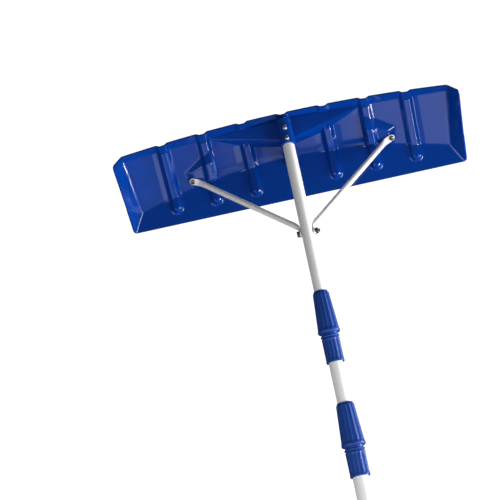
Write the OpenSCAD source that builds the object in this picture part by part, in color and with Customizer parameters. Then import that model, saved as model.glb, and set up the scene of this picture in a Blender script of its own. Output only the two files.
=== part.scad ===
// Telescoping roof snow rake. Millimetres. The pole runs along +Z from the middle
// of its butt, the user stands on the -Y side and the scraping edge is on the +Y side.

/* [Pole] */
// Outer diameter of the thinnest tube, which carries the blade
tube_d = 21; // [19:0.5:26]
// Wall of every tube
tube_wall = 1.2; // [1:0.1:1.5]
// Radial gap between one tube and the next
tube_gap = 0.3; // [0.25:0.05:0.5]
// Height of the socket mouth, where the pole enters the blade
socket_z = 2110; // [2000:5:2200]
// Height of the lower end of each clamp, from the top clamp down
clamp_z = [1713, 1515, 1327]; // [1200:1:1800]
// Height of the lower end of each tube, from the thinnest down
tube_foot = [476, 278, 90, 4]; // [4:1:500]

/* [Clamps] */
// Length of the fluted body that grips the outer tube
body_len = 52; // [48:1:60]
// Length of the tapered nut
nut_len = 75; // [70:1:80]
// Number of flutes round a nut or a body
flutes = 14; // [10:1:18]

/* [Grip] */
// Length of the rubber grip
grip_len = 146; // [130:1:160]
// Diameter of the guard at the top of the grip
guard_d = 58; // [50:1:64]

/* [Blade] */
// Half the width of the blade, over its flared ends
blade_half = 311; // [305:1:320]
// How far the back panel bows away at its ends
bow = 21.7; // [15:0.1:25]
// Thickness of the moulding
skin = 3; // [2.5:0.1:3.5]
// Spacing of the raised beads
bead_pitch = 73; // [72:0.5:74]
// Height of a bead above the panel
bead_h = 9; // [7:0.5:10]
// Half the width of a bead
bead_half = 13; // [12:0.5:14]

/* [Braces] */
// Diameter of a brace tube
brace_d = 10; // [9:0.5:12]
// Height of the through-bolt below the socket mouth
pole_bolt_drop = 162; // [155:1:170]

/* [Hidden] */
$fn = 48;
eps = 0.01;
blue = "#1747a6";
light_grey = "#e6e4e0";
steel = "#9a9ca0";
black = "#1c1c1e";

// ---- Pole measures, numbered from the thinnest tube, 1, to the handle tube, 4 ----
step_d = 2 * (tube_wall + tube_gap);
function tube_od(k) = tube_d + (k - 1) * step_d;
function tube_id(k) = tube_od(k) - 2 * tube_wall;
// Depth of a tube's end inside its clamp body, and inside the blade's socket
tube_seat = 45;
socket_seat = 45;
function tube_top(k) = k == 1 ? socket_z + socket_seat : clamp_z[k - 2] + tube_seat;

// Radial clearances: fixed fit, running fit and loose fit
fixed_gap = 0.05;
run_gap = 0.08;
loose_gap = 0.4;

// ---- Blade profile, as [forward, up] from the pole axis at the socket mouth ----
flange_tilt = 75;   // from the pole, leaning towards the user
panel_tilt = 45;
lip_tilt = 14;
flange_w = 13.5;    // at the ends
flange_arch = 9;    // how much wider the flange is in the middle
top_crease = [-14.2, 54];
edge = [-84, -70.5];
bow_at_x = 285;     // where bow is measured
top_end = 291.9;    // half width of the panel at the top crease
mid_end = 282.8;    // half width at the lower crease
edge_end = 301;     // half width at the scraping edge
flare = [25.4, -15.3]; // how far an end wall's top corner stands from the panel
straight_x = 250;   // columns are straight up to here and fan out beyond

function along(tilt) = [sin(tilt), cos(tilt)];
function facing(tilt) = [cos(tilt), -sin(tilt)];
function mix(a, b, k) = a * (1 - k) + b * k;
function cross2(a, b) = a.x * b.y - a.y * b.x;
function unit(v) = v / norm(v);
function bowed(x) = bow * pow(x / bow_at_x, 2) * facing(panel_tilt);
function upper(x) = top_crease + bowed(x);
function flange_at(x) = flange_w + flange_arch * (1 - pow(x / bow_at_x, 2));
function rim(x) = upper(x) + flange_at(x) * along(flange_tilt);
function drop_len(x) = cross2(edge - upper(x), along(lip_tilt)) / cross2(-along(panel_tilt), along(lip_tilt));
function lower(x) = upper(x) - drop_len(x) * along(panel_tilt);
function lip_len(x) = norm(lower(x) - edge);
// A place on the panel: x across, t down from the top crease, h out of the face
function on_panel(x, t, h) = concat([x], upper(x) - t * along(panel_tilt) + h * facing(panel_tilt));
// From [x, forward, up] to the part's own frame
function place(p) = [p.x, -p.y, socket_z + p.z];

// A row of the blade is [strip, place]: strip 0 is the flange and 1 the panel, both with a
// fraction, and strip 2 is the lip with a distance above the scraping edge
ROWS = concat([for (k = [0, 0.5]) [0, k]], [for (k = [0, 0.35, 0.7]) [1, k]],
    [[2, 999]], [for (a = [35, 30.4, 26, 22, 19, 17.4, 8, 0]) [2, a]]);
function row_spot(r, x) = r[0] == 0 ? mix(rim(x), upper(x), r[1])
    : r[0] == 1 ? mix(upper(x), lower(x), r[1])
    : edge + min(r[1], lip_len(x)) * along(lip_tilt);
function row_tilt(r) = r[0] == 0 ? flange_tilt
    : r[0] == 1 ? (r[1] == 0 ? (flange_tilt + panel_tilt) / 2 : panel_tilt)
    : r[1] > 900 ? (panel_tilt + lip_tilt) / 2 : lip_tilt;
function row_end(r) = r[0] == 0 ? top_end
    : r[0] == 1 ? mix(top_end, mid_end, r[1])
    : mix(edge_end, mid_end, min(1, r[1] / lip_len(mid_end)));
// Beads: straight ridges with a round nose on the lip
nose_gap = 17.4;    // from the nose to the scraping edge
rim_dip = 0.36;     // share of a bead's height that is left at the rim of the flange
function bump(u) = u >= 1 ? 0 : u <= 0.3 ? 1 : let (v = (1 - u) / 0.7) v * v * (3 - 2 * v);
function bead_off(x) = abs(abs(x) - bead_pitch * max(1, min(3, round(abs(x) / bead_pitch))));
function bead_at(r, x, half) =
    let (low = r[0] == 2 ? min(0, min(r[1], lip_len(x)) - nose_gap - bead_half) : 0,
        high = r[0] == 0 ? mix(rim_dip, 0.85, r[1]) : 1,
        mid = r[0] == 0 ? rim_dip * bump(abs(x) / half) : 0)
    bead_h * max(mid, high * bump(norm([bead_off(x), low]) / half));

// Columns from the middle to an end: plain x values, then the wall's fractions
BEAD_STEPS = [-13, -9.6, -6, -3, 3, 6, 9.6, 13];
COLUMNS = concat([0, 4, 8, 13, 36], [for (k = [1:3]) each [for (s = BEAD_STEPS) k * bead_pitch + s * bead_half / 13]],
    [straight_x, 272]);
WALL = [0, 0.12, 0.55, 1];
function crease_x(r, c) = c <= straight_x ? c
    : straight_x + (c - straight_x) * (row_end(r) - straight_x) / (top_end - straight_x);
function crease(r) = concat([row_end(r)], row_spot(r, row_end(r)));
function flare_top() = concat([blade_half - skin], upper(top_end) + flare);
function flare_foot() = concat([edge_end + 2], edge + [2, -0.5]);
function wall_run(r) = r[0] == 0 ? 0.05 * r[1] : r[0] == 1 ? mix(0.07, 0.62, r[1])
    : mix(1, 0.62, min(1, r[1] / lip_len(mid_end)));
function free_edge(r) = mix(flare_top(), flare_foot(), wall_run(r));
function panel_face(r) = concat([0], facing(row_tilt(r)));
function wall_face(r) = unit(cross(concat([0], along(row_tilt(r))), free_edge(r) - crease(r)));
function wall_spot(r, k) = mix(crease(r), free_edge(r), k);
function corner_face(r) = unit(panel_face(r) + wall_face(r));

function front_side(r, j) = let (n = len(COLUMNS))
    j < n ? let (x = crease_x(r, COLUMNS[j]))
        concat([x], row_spot(r, x) + bead_at(r, x, bead_half) * facing(row_tilt(r)))
    : wall_spot(r, WALL[j - n]);
function back_side(r, j) = let (n = len(COLUMNS))
    j < n ? let (x = crease_x(r, COLUMNS[j]))
        concat([x], row_spot(r, x) + (bead_at(r, x, bead_half - 2.2) - skin) * facing(row_tilt(r)))
    : wall_spot(r, WALL[j - n]) - skin * (j == n ? corner_face(r) * 1.2 : wall_face(r));
function mirrored(p, s) = [s * p.x, p.y, p.z];

// Gusset: a hollow pyramid between the panel and the socket, open at the back
gusset_x = 146;
gusset_low = 16.5;
gusset_lean = 7;    // how far the top of its front leans out under the flange
gusset_mid = [72, 36.6];  // where its lower edge bulges, as a place on the panel
function panel_forward(h) = top_crease.x - (top_crease.y - h);
// Corners of the pyramid moved in by wall, with its open side sunk into or past the panel
function gusset_corners(wall, sink, lean = 0) = let (x = gusset_x - 4.5 * wall, front = top_crease.x - wall,
        high = top_crease.y - 0.4 * wall, low = gusset_low + wall, m = gusset_mid) [
    for (s = [-1, 1]) each [
        concat([s * x], upper(x) - wall * [1, 0.2] - sink * facing(panel_tilt)),
        mirrored(on_panel(m.x - wall, m.y - 1.5 * wall, -sink), s)],
    [0, front + lean, high + lean / tan(flange_tilt)], [0, front, low], [0, front - 1.4 * sink, high],
    [0, panel_forward(low) - sink, low + 0.4 * sink]];

// Brace pads: low flat-topped wedges with a round boss that carry the end of a brace
pad_bolt = [181, 71];
pad_rise = 5.5;     // height of a pad's top over the panel at the bolt
pad_slope = 0.12;   // how fast that top rises towards the pole
PAD_FOOT = [[140, 17.8], [193.5, 54.6], [187.5, 71], [184.5, 87], [140, 80]];
PAD_TOP = [[140, 38.9], [181, 57], [174.5, 71], [172, 78.8], [140, 69.5]];
pad_root = 1.5;     // how far a pad is sunk into the panel
pad_boss_r = 7.5;
back_boss_r = 9;
function pad_spot(x, t) = on_panel(x, t, pad_rise + pad_slope * (pad_bolt.x - x));
pad_seat = pad_spot(pad_bolt.x, pad_bolt.y);
pad_face = unit([pad_slope, 0, 0] + concat([0], facing(panel_tilt)));

// Fasteners
m6_r = 3;
m4_r = 2;
hole_gap = 0.15;
washer_t = 1.2;
nut_t = 5;
head_t = 3.6;
boss_back = 10.5;   // from a pad's top to the flat on the back of the blade
spot_r = 7;         // spot face under the washer on that flat

// Socket for the pole
socket_r = tube_d / 2 + 3;
socket_top = 50;
cradle_low = -28;
screw_h = [11, 31];
screw_seat = 14;
mouth_from = 2;     // the mouth is cut slanting upwards from here towards the user
mouth_slant = 0.36;

module to_frame() { translate([0, 0, socket_z]) children(); }

// Lines up local +Z with direction d at point p
module aim(p, d) {
    translate(p) rotate([0, acos(d.z / norm(d)), atan2(d.y, d.x)]) children();
}
module aim_place(p, d) { aim(place(p), [d.x, -d.y, d.z]) children(); }

module skin_shell() {
    n = len(COLUMNS) + len(WALL);
    m = len(ROWS);
    across = [for (j = [-(n - 1):n - 1]) j];
    w = len(across);
    front = [for (r = ROWS) for (j = across) place(mirrored(front_side(r, abs(j)), sign(j)))];
    back = [for (r = ROWS) for (j = across) place(mirrored(back_side(r, abs(j)), sign(j)))];
    b = m * w;
    faces = concat(
        [for (i = [0:m - 2]) for (j = [0:w - 2]) let (a = i * w + j)
            each [[a, a + 1, a + w + 1], [a, a + w + 1, a + w]]],
        [for (i = [0:m - 2]) for (j = [0:w - 2]) let (a = b + i * w + j)
            each [[a, a + w + 1, a + 1], [a, a + w, a + w + 1]]],
        [for (j = [0:w - 2]) each [[j, b + j, b + j + 1], [j, b + j + 1, j + 1]]],
        [for (j = [0:w - 2]) let (a = (m - 1) * w + j)
            each [[a, a + 1, b + a + 1], [a, b + a + 1, b + a]]],
        [for (i = [0:m - 2]) let (a = i * w)
            each [[a, a + w, b + a + w], [a, b + a + w, b + a]]],
        [for (i = [0:m - 2]) let (a = i * w + w - 1)
            each [[a, b + a + w, a + w], [a, b + a, b + a + w]]]);
    polyhedron(concat(front, back), faces, convexity = 8);
}

module hull_of(corners) {
    hull() for (p = corners) translate(place(p)) cube(0.02, center = true);
}

module brace_pad() {
    hull_of(concat([for (p = PAD_FOOT) on_panel(p.x, p.y, -pad_root)], [for (p = PAD_TOP) pad_spot(p.x, p.y)]));
    aim_place(pad_seat, -pad_face) cylinder(r = pad_boss_r, h = pad_rise + pad_root);
    aim_place(pad_seat - (pad_rise + 1) * pad_face, -pad_face)
        cylinder(r = back_boss_r, h = boss_back - pad_rise - 1);
}

module both_sides() { children(); mirror([1, 0, 0]) children(); }

module socket() {
    to_frame() {
        cylinder(r = socket_r, h = socket_top);
        translate([-socket_r, 0, 0]) cube([2 * socket_r, 3 - top_crease.x, socket_top]);
        for (h = screw_h) translate([0, -socket_r + 4, h]) rotate([90, 0, 0])
            cylinder(r = 5, h = screw_seat - socket_r + 4);
        intersection() {
            translate([0, 0, cradle_low]) cylinder(r = socket_r, h = 1 - cradle_low);
            translate([-20, 3, cradle_low]) cube([40, 20, 1 - cradle_low]);
        }
        rotate([90, 0, 90]) translate([0, 0, -3]) linear_extrude(6)
            polygon([[11.6, cradle_low], [11.6, 15], [58, 15], [69.5, 0], [73, -20]]);
    }
}

module blade() {
    color(blue) difference() {
        // Taken at its own size, so that the moulding is one skin before the holes are cut
        resize([0, 0, 0]) difference() {
            union() {
                skin_shell();
                hull_of(gusset_corners(0, 1.5, gusset_lean));
                both_sides() brace_pad();
                socket();
            }
            hull_of(gusset_corners(skin, 9));
        }
        to_frame() translate([0, 0, cradle_low - 5])
            cylinder(r = tube_d / 2 + run_gap, h = socket_seat - cradle_low + 5 + run_gap);
        to_frame() for (h = screw_h) translate([0, 0, h]) rotate([90, 0, 0])
            cylinder(r = m4_r + hole_gap, h = 30);
        to_frame() rotate([90, 0, 90]) translate([0, 0, -30]) linear_extrude(60)
            polygon([[-mouth_from, 0], [-mouth_from - 28, 28 * mouth_slant], [-mouth_from - 28, -20], [-mouth_from, -20]]);
        both_sides() aim_place(pad_seat + 20 * pad_face, -pad_face) cylinder(r = m6_r + hole_gap, h = 50);
        both_sides() aim_place(pad_seat - boss_back * pad_face, -pad_face) cylinder(r = spot_r, h = 10);
    }
}

// ---- Braces: tubes with flattened ends ----
tab_t = 2.4;
tab_w = 12.6;
pole_tab = [tube_d / 2 + fixed_gap + tab_t / 2, 0, -pole_bolt_drop];
blade_tab = pad_seat + (fixed_gap + tab_t / 2) * pad_face;
brace_run = unit(blade_tab - pole_tab);
pole_dir = unit([0, brace_run.y, brace_run.z]);
blade_dir = unit(brace_run - (brace_run * pad_face) * pad_face);
pole_bend = pole_tab + 13 * pole_dir;
blade_bend = blade_tab - 13 * blade_dir;
tube_dir = unit(blade_bend - pole_bend);
// A station is [centre, direction, thickness direction, half width, half thickness]
function station(p, d, t, w, h) = [p, unit(d), unit(t - (t * unit(d)) * unit(d)), w, h];
brace_r = brace_d / 2;
// The round end of a tab: places along it from its bolt, with half widths
TAB_END = [[-6.4, 2.8], [-5, 4.9], [-2.5, 6.5], [1, 7]] * (tab_w / 14);
bend_w = tab_w / 2 - 0.4;
BRACE = concat(
    [for (k = TAB_END)
        station(pole_tab + k[0] * pole_dir, pole_dir, [1, 0, 0], k[1], tab_t / 2)],
    [station(pole_tab + 9 * pole_dir, pole_dir, [1, 0, 0], tab_w / 2, tab_t / 2),
    station(pole_bend + [1.2, 0, 0], pole_dir + tube_dir, [1, 0, 0], bend_w, 2.3)],
    [for (k = [0, 0.25, 0.75, 1]) station(mix(pole_bend + 10 * tube_dir, blade_bend - 14 * tube_dir, k),
        tube_dir, mix([1, 0, 0], pad_face, k), brace_r, brace_r)],
    [station(blade_bend - 1 * blade_dir, tube_dir + blade_dir, pad_face, bend_w, 2.1),
    station(blade_tab - 9 * blade_dir, blade_dir, pad_face, tab_w / 2, tab_t / 2)],
    [for (i = [3:-1:0]) station(blade_tab - TAB_END[i][0] * blade_dir, blade_dir, pad_face, TAB_END[i][1], tab_t / 2)]);
SIDES = 20;
function ring_spot(s, i) = let (a = 360 * i / SIDES, side = cross(s[1], s[2]),
        flat = s[3] > s[4] + 1 ? 0.35 : 1, c = cos(a), d = sin(a))
    s[0] + s[3] * sign(c) * pow(abs(c), flat == 1 ? 1 : 0.8) * side + s[4] * sign(d) * pow(abs(d), flat) * s[2];

module brace() {
    n = len(BRACE);
    points = [for (s = BRACE) for (i = [0:SIDES - 1]) place(ring_spot(s, i))];
    faces = concat(
        [for (j = [0:n - 2]) for (i = [0:SIDES - 1]) let (a = j * SIDES + i, b = j * SIDES + (i + 1) % SIDES)
            each [[a, b + SIDES, b], [a, a + SIDES, b + SIDES]]],
        [[for (i = [0:SIDES - 1]) i]], [[for (i = [SIDES - 1:-1:0]) (n - 1) * SIDES + i]]);
    difference() {
        polyhedron(points, faces, convexity = 4);
        aim_place(blade_tab - 5 * pad_face, pad_face) cylinder(r = m6_r + hole_gap, h = 10);
        to_frame() translate([0, 0, -pole_bolt_drop]) rotate([0, 90, 0]) cylinder(r = m6_r + hole_gap, h = 30);
    }
}
module brace_right() { color(light_grey) brace(); }
module brace_left() { color(light_grey) mirror([1, 0, 0]) brace(); }

// ---- Fasteners ----
module hex_nut(r) {
    difference() {
        cylinder(r = r * 1.8, h = nut_t, $fn = 6);
        translate([0, 0, -1]) cylinder(r = r + fixed_gap, h = nut_t + 2);
    }
}
module washer(r) {
    difference() {
        cylinder(r = r * 2, h = washer_t);
        translate([0, 0, -1]) cylinder(r = r + fixed_gap, h = washer_t + 2);
    }
}
module pan_head(r) {
    rotate_extrude() polygon([[0, 0], [r, 0], [r, 0.5 * head_t], [0.8 * r, 0.85 * head_t], [0.45 * r, head_t],
        [0, head_t]]);
}
back_len = boss_back + fixed_gap + washer_t + nut_t + 2;
tab_top = tab_t + 2 * fixed_gap;
module brace_bolts() {
    color(steel) both_sides() {
        aim_place(pad_seat + tab_top * pad_face, pad_face) pan_head(4.4);
        aim_place(pad_seat + (tab_top + eps) * pad_face, -pad_face) cylinder(r = m6_r, h = tab_top + back_len);
    }
}
module brace_washers() {
    color(steel) both_sides() aim_place(pad_seat - (boss_back + fixed_gap) * pad_face, -pad_face) washer(m6_r);
}
module brace_nuts() {
    color(steel) both_sides()
        aim_place(pad_seat - (boss_back + washer_t + 2 * fixed_gap) * pad_face, -pad_face) hex_nut(m6_r);
}
pole_stack = tube_d / 2 + tab_top;
module at_pole_bolt(x) {
    to_frame() translate([x, 0, -pole_bolt_drop]) rotate([0, 90, 0]) children();
}
module pole_bolt() {
    reach = pole_stack + 2 * fixed_gap + washer_t;
    color(steel) {
        at_pole_bolt(-reach) cylinder(r = m6_r, h = 2 * reach + nut_t + 3);
        at_pole_bolt(-reach - 4) cylinder(r = m6_r * 1.8, h = 4 + eps, $fn = 6);
    }
}
module pole_washers() {
    color(steel) {
        at_pole_bolt(pole_stack + fixed_gap) washer(m6_r);
        at_pole_bolt(-pole_stack - fixed_gap - washer_t) washer(m6_r);
    }
}
module pole_nut() {
    color("#4a4b4e") at_pole_bolt(pole_stack + washer_t + 2 * fixed_gap) hex_nut(m6_r);
}
module socket_screws() {
    color(steel) to_frame() for (h = screw_h) translate([0, -screw_seat - fixed_gap, h]) {
        rotate([90, 0, 0]) pan_head(4);
        translate([0, -eps, 0]) rotate([-90, 0, 0]) cylinder(r = m4_r, h = 18);
    }
}

// ---- Tubes ----
module tube(k) {
    color(light_grey) difference() {
        translate([0, 0, tube_foot[k - 1]]) cylinder(d = tube_od(k), h = tube_top(k) - tube_foot[k - 1]);
        translate([0, 0, tube_foot[k - 1] - 1]) cylinder(d = tube_id(k), h = tube_top(k) - tube_foot[k - 1] + 2);
        if (k == 1) {
            at_pole_bolt(-20) cylinder(r = m6_r + hole_gap, h = 40);
            to_frame() for (h = screw_h) translate([0, 0, h]) rotate([90, 0, 0])
                cylinder(r = m4_r + hole_gap, h = 20);
        }
    }
}
module tube_1() { tube(1); }
module tube_2() { tube(2); }
module tube_3() { tube(3); }
module tube_4() { tube(4); }

// ---- Clamps: clamp k joins tube k to the wider tube k + 1 ----
function body_r(k) = tube_od(k + 1) / 2 + 3.75;
function nut_wide_r(k) = tube_od(k + 1) / 2 + 7.25;
function nut_top_r(k) = tube_od(k + 1) / 2 + 1.9;
function spigot_r(k) = tube_od(k + 1) / 2 + 2.6;
function slip_r(k) = tube_od(k) / 2 + loose_gap;
spigot_len = 27;    // male thread above the body
neck_len = 10.5;    // bare neck under the nut
cone_z = 18;        // from the nut's lower end to where the spigot opens for the collet
collet_z = [20, 31, 47];  // lower end, widest place and upper end of a collet
function collet_r(k) = tube_od(k + 1) / 2 + 1.1;

module ring_of_flutes(count, r, flute_r, z0, z1, lean) {
    for (i = [0:count - 1]) rotate([0, 0, i * 360 / count]) translate([r, 0, z0])
        rotate([0, lean, 0]) cylinder(r = flute_r, h = z1 - z0, $fn = 16);
}

module clamp_body(k) {
    r = body_r(k);
    collar_z = body_len - neck_len;
    color(blue) translate([0, 0, clamp_z[k - 1]]) difference() {
        rotate_extrude() polygon([[tube_od(k + 1) / 2 + fixed_gap, 0], [r - 0.6, 0], [r, 0.8], [r, collar_z],
            [r - 1.2, collar_z + 1.2], [r - 1.2, collar_z + 3], [r + 0.6, collar_z + 3.8], [r + 0.6, collar_z + 5.4],
            [r - 1.2, collar_z + 6.2], [r - 1.2, collar_z + 7.4], [spigot_r(k), collar_z + 8.2],
            [spigot_r(k), body_len + spigot_len], [collet_r(k) + 0.9, body_len + spigot_len],
            [slip_r(k) + 0.5, body_len + cone_z],
            [slip_r(k), body_len + cone_z - 1], [slip_r(k), tube_seat + fixed_gap],
            [tube_od(k + 1) / 2 + fixed_gap, tube_seat + fixed_gap]]);
        ring_of_flutes(flutes, r + 1.6, 2.3, 5, collar_z - 2, 0);
    }
}

module clamp_nut(k) {
    wide = nut_wide_r(k);
    top = nut_top_r(k);
    inner = spigot_r(k) + 0.35;
    lean = atan((wide - top) / (nut_len - 8));
    color(blue) translate([0, 0, clamp_z[k - 1] + body_len]) difference() {
        rotate_extrude() polygon([[inner, 0], [wide - 1.4, 0], [wide - 0.3, 1], [wide, 4], [wide - 0.6, 7],
            [top + 0.3, nut_len - 3], [top, nut_len - 1.2], [top - 0.8, nut_len],
            [slip_r(k), nut_len], [slip_r(k), collet_z[2] + 1],
            [slip_r(k) + 0.3, collet_z[2]], [inner, collet_z[1]]]);
        ring_of_flutes(flutes, wide + 1.3, 2.2, 9, nut_len - 4, -lean);
    }
}

module clamp_collet(k) {
    bore = tube_od(k) / 2 + run_gap;
    color(light_grey) translate([0, 0, clamp_z[k - 1] + body_len]) difference() {
        rotate_extrude() polygon([[bore, collet_z[0]], [slip_r(k) + 0.45, collet_z[0]],
            [collet_r(k), collet_z[1] - 3.4], [collet_r(k), collet_z[1] - 0.6],
            [slip_r(k) + 0.35, collet_z[2] - 3], [bore, collet_z[2] - 3]]);
        for (i = [0:2]) rotate([0, 0, i * 120]) {
            translate([0, -0.6, collet_z[0] - 1]) cube([20, 1.2, collet_z[2] - collet_z[0] - 6]);
            rotate([0, 0, 60]) translate([0, -0.6, collet_z[0] + 4]) cube([20, 1.2, collet_z[2] - collet_z[0]]);
        }
    }
}
module clamp_body_1() { clamp_body(1); }
module clamp_body_2() { clamp_body(2); }
module clamp_body_3() { clamp_body(3); }
module clamp_nut_1() { clamp_nut(1); }
module clamp_nut_2() { clamp_nut(2); }
module clamp_nut_3() { clamp_nut(3); }
module clamp_collet_1() { clamp_collet(1); }
module clamp_collet_2() { clamp_collet(2); }
module clamp_collet_3() { clamp_collet(3); }

// ---- Guide bush in the lower end of tube k, running in tube k + 1 ----
module guide(k) {
    spigot = tube_id(k) / 2 - run_gap;
    flange = tube_id(k + 1) / 2 - run_gap;
    color(black) translate([0, 0, tube_foot[k - 1]]) rotate_extrude()
        polygon([[spigot - 2, -10], [flange - 0.5, -10], [flange, -9.5], [flange, -0.6], [flange - 0.5, -run_gap],
            [spigot, -run_gap], [spigot, 24], [spigot - 0.8, 25], [spigot - 2, 25]]);
}
module guide_1() { guide(1); }
module guide_2() { guide(2); }
module guide_3() { guide(3); }

// ---- Handle end ----
module grip() {
    bore = tube_od(4) / 2 + fixed_gap;
    guard_low = grip_len - 25;
    guard_t = 6;
    saddle_r = 26;
    color(black) difference() {
        union() {
            rotate_extrude() polygon([[0, 0], [15, 0], [19, 1.6], [21.4, 4.6], [22.5, 9], [22.5, 14], [21, 19],
                [18, 23], [17, 26], [17.4, 34], [18.6, 60], [18.9, 76], [18.2, 96], [17, 114], [17, guard_low + 6],
                [0, guard_low + 6]]);
            intersection() {
                translate([0, 0, guard_low]) cylinder(d = guard_d, h = 25);
                translate([0, 0, guard_low + saddle_r]) rotate([90, 0, 0]) difference() {
                    cylinder(r = saddle_r + guard_t / 2, h = guard_d, center = true);
                    cylinder(r = saddle_r - guard_t / 2, h = guard_d + 2, center = true);
                }
            }
        }
        translate([0, 0, tube_foot[3] - fixed_gap]) cylinder(r = bore, h = grip_len);
    }
}
module end_plug() {
    inner = tube_id(4) / 2 - fixed_gap;
    color(black) translate([0, 0, tube_foot[3]]) difference() {
        cylinder(r = inner, h = 16);
        translate([0, 0, 3]) cylinder(r = inner - 2, h = 16);
    }
}

blade();
brace_left();
brace_right();
brace_bolts();
brace_washers();
brace_nuts();
pole_bolt();
pole_nut();
pole_washers();
socket_screws();
tube_1();
tube_2();
tube_3();
tube_4();
clamp_nut_1();
clamp_nut_2();
clamp_nut_3();
clamp_body_1();
clamp_body_2();
clamp_body_3();
clamp_collet_1();
clamp_collet_2();
clamp_collet_3();
guide_1();
guide_2();
guide_3();
grip();
end_plug();
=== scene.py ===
"""Telescoping roof snow rake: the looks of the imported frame, its studio light and its camera.

Lengths in the modelling functions are millimetres and become metres in make(). Points on the blade are
[x, forward, up] from the socket's mouth, forward being the user's side, and place() puts them in the frame.
The studio and the camera are in metres.
"""

from math import cos, degrees, pi, radians, sin, sqrt, tan

import bmesh
import bpy
from mathutils import Matrix, Vector


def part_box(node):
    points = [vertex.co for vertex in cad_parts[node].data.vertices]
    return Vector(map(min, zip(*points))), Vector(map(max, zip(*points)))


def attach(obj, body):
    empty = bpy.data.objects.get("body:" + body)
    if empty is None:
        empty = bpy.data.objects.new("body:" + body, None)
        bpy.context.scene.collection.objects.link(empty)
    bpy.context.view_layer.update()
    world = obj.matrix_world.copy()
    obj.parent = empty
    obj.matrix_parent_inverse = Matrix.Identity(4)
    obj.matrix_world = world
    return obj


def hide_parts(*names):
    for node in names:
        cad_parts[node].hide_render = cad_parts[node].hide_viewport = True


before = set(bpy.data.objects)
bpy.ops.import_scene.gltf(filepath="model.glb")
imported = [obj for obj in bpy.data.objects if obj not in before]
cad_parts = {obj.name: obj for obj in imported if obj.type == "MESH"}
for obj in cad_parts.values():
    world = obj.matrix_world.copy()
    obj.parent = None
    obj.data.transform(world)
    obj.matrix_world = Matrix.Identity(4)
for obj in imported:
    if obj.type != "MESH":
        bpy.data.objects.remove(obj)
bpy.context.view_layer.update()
MM = 0.001


def low(node):
    return [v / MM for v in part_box(node)[0]]


def high(node):
    return [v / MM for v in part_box(node)[1]]


# Places that come from the frame
TUBE_R = {k: high(f"tube_{k}")[0] for k in (1, 2, 3, 4)}
CLAMP_Z = {k: low(f"clamp_body_{k}")[2] for k in (1, 2, 3)}
NUT_Z = {k: low(f"clamp_nut_{k}")[2] for k in (1, 2, 3)}
TUBE_IN = 45  # how far the pole goes up into its sleeve
SOCKET_Z = high("tube_1")[2] - TUBE_IN
POLE_BOLT_Z = (low("pole_nut")[2] + high("pole_nut")[2]) / 2
GRIP_TOP = high("grip")[2]
GRIP_HALF = high("grip")[0]


# ---- Numbers and small vectors ----
def mix(a, b, k):
    return a * (1 - k) + b * k


def smooth(k):
    k = min(1, max(0, k))
    return k * k * (3 - 2 * k)


def steps(a, b, n):
    return [mix(a, b, i / n) for i in range(n + 1)]


def curve(a, corner, b, k):
    """A rounded corner: leaves a towards corner and arrives at b."""
    return a * (1 - k) ** 2 + corner * 2 * k * (1 - k) + b * k * k


def cross2(a, b):
    return a[0] * b[1] - a[1] * b[0]


def place(p):
    """From [x, forward, up] at the socket mouth to the frame, still in millimetres."""
    return Vector((p[0], -p[1], SOCKET_Z + p[2]))


# ---- Meshes ----
def make(name, verts, faces):
    """An object in the frame, in metres, from points in millimetres."""
    mesh = bpy.data.meshes.new(name)
    mesh.from_pydata([tuple(c * MM for c in v) for v in verts], [], faces)
    mesh.update()
    obj = bpy.data.objects.new(name, mesh)
    bpy.context.scene.collection.objects.link(obj)
    return obj


def skin(name, rings, wrap=False, caps=True):
    """A closed surface over loops of points; wrap joins the last loop to the first."""
    n, m = len(rings[0]), len(rings)
    verts = [p for ring in rings for p in ring]
    faces = []
    for i in range(m if wrap else m - 1):
        a, b = i * n, (i + 1) % m * n
        faces += [(a + j, a + (j + 1) % n, b + (j + 1) % n, b + j) for j in range(n)]
    if caps and not wrap:
        faces += [tuple(range(n - 1, -1, -1)), tuple(range((m - 1) * n, m * n))]
    return make(name, verts, faces)


def round_shape(r, z, a):
    return r


def lathe(name, profile, count=64, shape=round_shape, wrap=True):
    """A turned piece about +Z. profile is [radius, height] upwards on the outside.

    shape gives the radius at [radius, height, angle], and wrap closes the profile on itself for a bore.
    """
    angles = [2 * pi * i / count for i in range(count)]
    rings = []
    for r, z in profile:
        rings.append([Vector((shape(r, z, a) * cos(a), shape(r, z, a) * sin(a), z)) for a in angles])
    return skin(name, rings, wrap)


def aim(obj, point, direction):
    """Moves an object made about +Z so that +Z lies along direction and its origin at point."""
    turn = Vector((0, 0, 1)).rotation_difference(Vector(direction)).to_matrix().to_4x4()
    obj.data.transform(Matrix.Translation(Vector(point) * MM) @ turn)
    return obj


def soften(obj, width, angle=20, segments=2):
    """Rounds the edges that are sharper than angle."""
    bm = bmesh.new()
    bm.from_mesh(obj.data)
    edges = [e for e in bm.edges if e.is_manifold and e.calc_face_angle(0) > radians(angle)]
    bmesh.ops.bevel(bm, geom=edges, offset=width * MM, segments=segments, affect="EDGES", profile=0.5)
    bm.to_mesh(obj.data)
    bm.free()
    return obj


def hull(name, points, edge=0.0):
    """The convex piece round some points, with its edges rounded if edge is given."""
    bm = bmesh.new()
    for p in points:
        bm.verts.new([c * MM for c in p])
    made = bmesh.ops.convex_hull(bm, input=bm.verts)
    loose = {g for g in made["geom_interior"] + made["geom_unused"] if isinstance(g, bmesh.types.BMVert)}
    bmesh.ops.delete(bm, geom=list(loose), context="VERTS")
    bmesh.ops.dissolve_limit(bm, angle_limit=0.01, verts=bm.verts, edges=bm.edges)
    bmesh.ops.recalc_face_normals(bm, faces=bm.faces)
    mesh = bpy.data.meshes.new(name)
    bm.to_mesh(mesh)
    bm.free()
    obj = bpy.data.objects.new(name, mesh)
    bpy.context.scene.collection.objects.link(obj)
    return soften(obj, edge) if edge else obj


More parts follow.
